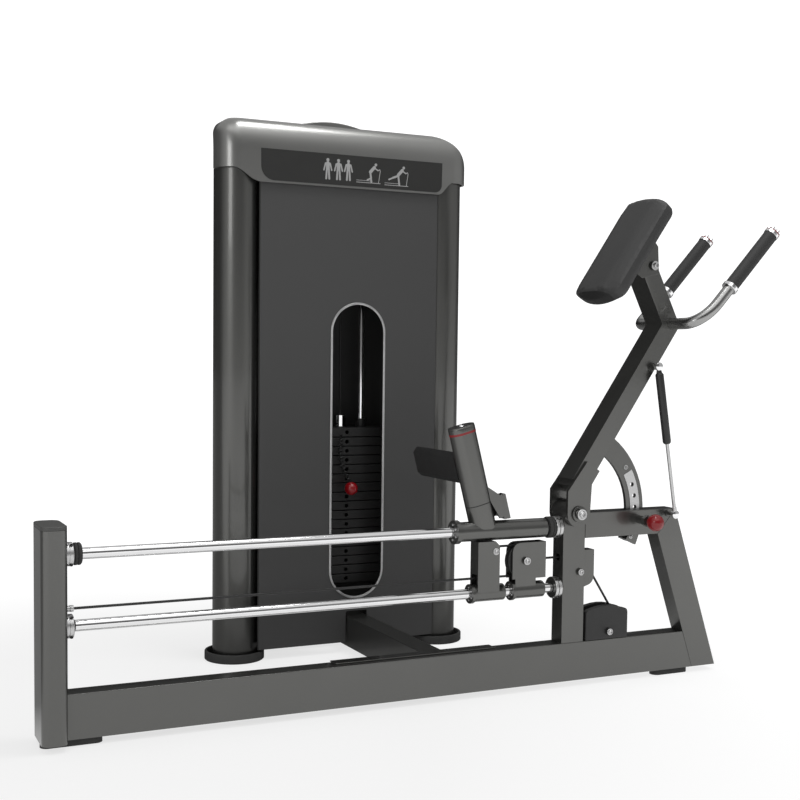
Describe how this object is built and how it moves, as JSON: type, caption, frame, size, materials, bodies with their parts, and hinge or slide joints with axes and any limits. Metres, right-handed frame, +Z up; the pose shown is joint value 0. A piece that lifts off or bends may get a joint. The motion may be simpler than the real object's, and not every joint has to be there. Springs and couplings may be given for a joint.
{
  "type": "glute kick machine",
  "caption": "Glute kick machine: a sliding foot post on guide rods lifts a selectorised weight stack by cable while the user leans on a tilting chest pad with two handles.",
  "frame": {"origin": "middle of the underside of the rubber foot beneath the end post, on the floor", "axes": "+X along the base rail from the end post to the chest pad, +Y towards the weight tower, +Z up"},
  "size_m": [1.8891, 0.9415, 1.5019],
  "materials": {
    "graphite": "satin graphite metallic",
    "panel": "fine textured",
    "shroud": "gloss silver graphite",
    "chrome": "polished",
    "black_plastic": "satin",
    "rubber": "matte",
    "plate_iron": "satin black",
    "upholstery": "fine grained",
    "foam": "foam",
    "red_plastic": "gloss",
    "cable": "plastic jacket"
  },
  "bodies": {
    "base": {"end_post": "graphite", "end_post_cap": "black_plastic", "base_rail": "graphite", "rail_cover": "graphite", "end_foot": "rubber", "leg_foot": "rubber", "cross_beam": "graphite", "upright": "graphite", "pivot_bush": "chrome", "top_beam": "graphite", "rear_leg": "graphite", "upper_guide_rod": "chrome", "lower_guide_rod": "chrome", "left_bumper": "rubber", "right_bumper": "rubber", "pulley_guard": "graphite", "base_pulley_cover": "black_plastic", "left_column": "graphite", "left_foot_ring": "rubber", "right_column": "graphite", "right_foot_ring": "rubber", "top_shroud": "shroud", "front_panel": "panel", "window_trim": "chrome", "rear_panel": "panel", "tower_base": "graphite", "stack_cushion": "rubber", "tower_header": "graphite", "left_stack_rod": "chrome", "right_stack_rod": "chrome", "resting_plates": "plate_iron", "pedal_cable": "cable", "stack_cable": "cable"},
    "lifted_stack": {"lifted_plates": "plate_iron", "head_plate": "plate_iron", "selector_stem": "chrome", "pin_lanyard": "cable"},
    "selector_pin": {"selector_pin": "red_plastic"},
    "foot_carriage": {"slide_sleeve": "graphite", "slide_bracket": "graphite"},
    "foot_post": {"foot_tube": "graphite", "foot_plate": "black_plastic"},
    "height_lever": {"height_lever": "graphite"},
    "pulley_carriage": {"pulley_carriage": "graphite"},
    "travelling_pulley": {"travelling_pulley": "black_plastic"},
    "upright_pulley": {"upright_pulley": "black_plastic"},
    "base_pulley": {"base_pulley": "black_plastic"},
    "corner_pulley": {"corner_pulley": "black_plastic"},
    "tower_base_pulley": {"tower_base_pulley": "black_plastic"},
    "top_pulley": {"top_pulley": "black_plastic"},
    "arm": {"chest_arm": "graphite", "pad_bracket": "graphite", "chest_pad": "upholstery", "handle_bar": "chrome", "left_grip": "foam", "right_grip": "foam", "adjustment_arc": "graphite"},
    "strut_rod": {"strut_rod": "chrome"},
    "strut_cylinder": {"strut_cylinder": "black_plastic"},
    "pop_pin": {"pop_pin": "red_plastic"}
  },
  "joints": [
    {"name": "stack_lift", "type": "slide", "parent": "base", "child": "lifted_stack", "axis": [0, 0, 1], "range_m": [0, 0.42], "deforming": ["stack_cable"]},
    {"name": "foot_slide", "type": "slide", "parent": "base", "child": "foot_carriage", "axis": [-1, 0, 0], "range_m": [0, 0.84], "deforming": ["pedal_cable"]},
    {"name": "pulley_slide", "type": "slide", "parent": "base", "child": "pulley_carriage", "axis": [-1, 0, 0], "range_m": [0, 0.42]},
    {"name": "travelling_spin", "type": "hinge", "parent": "pulley_carriage", "child": "travelling_pulley", "pos_m": [1.132, 0, 0.3351], "axis": [0, 1, 0], "range_deg": [-630, 1]},
    {"name": "upright_spin", "type": "hinge", "parent": "base", "child": "upright_pulley", "pos_m": [1.29, 0, 0.298], "axis": [0, 1, 0], "range_deg": [-640, 1]},
    {"name": "base_spin", "type": "hinge", "parent": "base", "child": "base_pulley", "pos_m": [1.382, 0, 0.1356], "axis": [0, 1, 0], "range_deg": [-490, 1]},
    {"name": "corner_spin", "type": "hinge", "parent": "base", "child": "corner_pulley", "pos_m": [0.942, 0.04, 0.0856], "axis": [0, 0, 1], "range_deg": [-1, 610]},
    {"name": "tower_base_spin", "type": "hinge", "parent": "base", "child": "tower_base_pulley", "pos_m": [0.902, 0.732, 0.1156], "axis": [1, 0, 0], "range_deg": [-810, 1]},
    {"name": "top_spin", "type": "hinge", "parent": "base", "child": "top_pulley", "pos_m": [0.909, 0.717, 1.422], "axis": [1, 0, 0], "range_deg": [-540, 1]},
    {"name": "chest_arm_tilt", "type": "hinge", "parent": "base", "child": "arm", "pos_m": [1.27085, 0, 0.451], "axis": [0, 1, 0], "range_deg": [0, 25.8]},
    {"name": "strut_swing", "type": "hinge", "parent": "base", "child": "strut_rod", "pos_m": [1.565, -0.055, 0.4385], "axis": [0, 1, 0], "range_deg": [-1, 27.5]},
    {"name": "strut_slide", "type": "slide", "parent": "strut_rod", "child": "strut_cylinder", "axis": [0.1643, 0, -0.9864], "range_m": [0, 0.1345]},
    {"name": "pop_pin_pull", "type": "slide", "parent": "base", "child": "pop_pin", "axis": [0, -1, 0], "range_m": [0, 0.012], "stiffness_N_per_m": 1500},
    {"name": "foot_post_slide", "type": "slide", "parent": "foot_carriage", "child": "foot_post", "axis": [-0.2554, 0, 0.9668], "range_m": [0, 0.12]},
    {"name": "height_lever_swing", "type": "hinge", "parent": "foot_post", "child": "height_lever", "pos_m": [1.0555, 0, 0.47662], "axis": [0, 1, 0], "range_deg": [0, 10], "stiffness_Nm_per_rad": 3},
    {"name": "selector_pin_pull", "type": "slide", "parent": "lifted_stack", "child": "selector_pin", "axis": [0, -1, 0], "range_m": [0, 0.1], "deforming": ["pin_lanyard"]}
  ],
  "couplings": [
    {"joint": "foot_slide", "follows": "stack_lift", "ratio": 2},
    {"joint": "pulley_slide", "follows": "stack_lift", "ratio": 1},
    {"joint": "travelling_spin", "follows": "stack_lift", "rad_per_m": -25.974},
    {"joint": "upright_spin", "follows": "stack_lift", "rad_per_m": -26.316},
    {"joint": "base_spin", "follows": "stack_lift", "rad_per_m": -20},
    {"joint": "corner_spin", "follows": "stack_lift", "rad_per_m": 25},
    {"joint": "tower_base_spin", "follows": "stack_lift", "rad_per_m": -33.333},
    {"joint": "top_spin", "follows": "stack_lift", "rad_per_m": -22.222},
    {"joint": "strut_swing", "follows": "chest_arm_tilt", "ratio": 1.019},
    {"joint": "strut_slide", "follows": "chest_arm_tilt", "m_per_rad": 0.2918}
  ]
}
